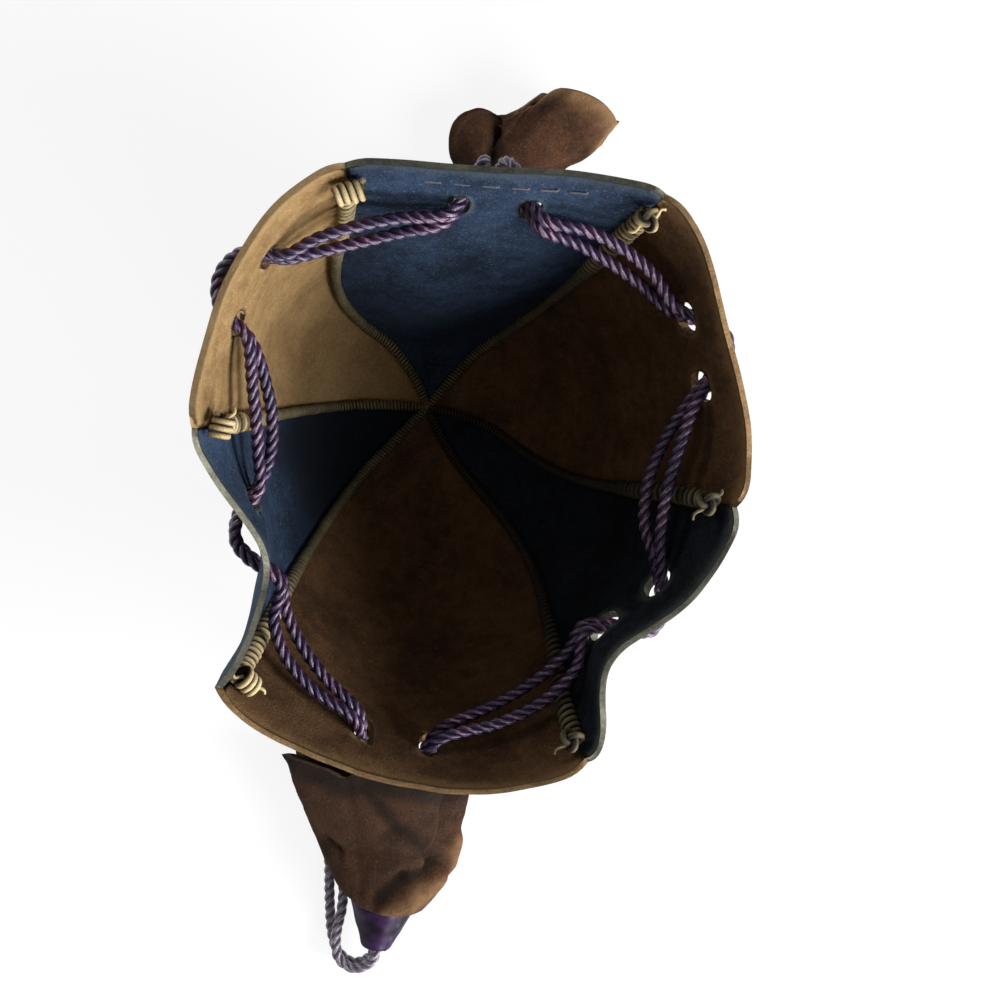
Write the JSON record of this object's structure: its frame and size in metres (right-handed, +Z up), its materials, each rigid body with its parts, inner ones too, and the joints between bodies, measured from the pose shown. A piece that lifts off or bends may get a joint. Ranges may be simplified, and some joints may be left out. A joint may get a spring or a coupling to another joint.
{
  "type": "drawstring coin purse",
  "caption": "Open drawstring coin purse of petal-shaped suede panels sewn edge to edge on a slumped soft bottom, its mouth threaded with draw cords that end in leather tassels.",
  "frame": {"origin": "middle of the sewn shell's box, on the ground under its bottom", "axes": "+Z up out of the mouth, +Y from the front tassel to the back tassel, +X to the right"},
  "size_m": [0.0776, 0.1478, 0.0569],
  "materials": {
    "tan_suede": "matte napped suede",
    "blue_suede": "matte napped suede",
    "brown_suede": "matte napped suede",
    "purple_leather": "smooth, glossy",
    "silk_cord": "twisted, lustrous",
    "sewing_thread": "wound thread"
  },
  "bodies": {
    "root": {"back_left_tan_panel": "tan_suede", "front_left_blue_panel": "blue_suede", "front_tan_panel": "tan_suede", "front_right_blue_panel": "blue_suede", "back_right_tan_panel": "tan_suede", "back_blue_panel": "blue_suede", "back_left_seam_thread": "sewing_thread", "left_seam_thread": "sewing_thread", "front_left_seam_thread": "sewing_thread", "front_right_seam_thread": "sewing_thread", "right_seam_thread": "sewing_thread", "back_right_seam_thread": "sewing_thread", "back_draw_cord": "silk_cord", "front_draw_cord": "silk_cord", "back_tassel_cone": "purple_leather", "front_tassel_cone": "purple_leather", "back_tassel_petals": "brown_suede", "front_tassel_petals": "brown_suede"}
  },
  "joints": []
}
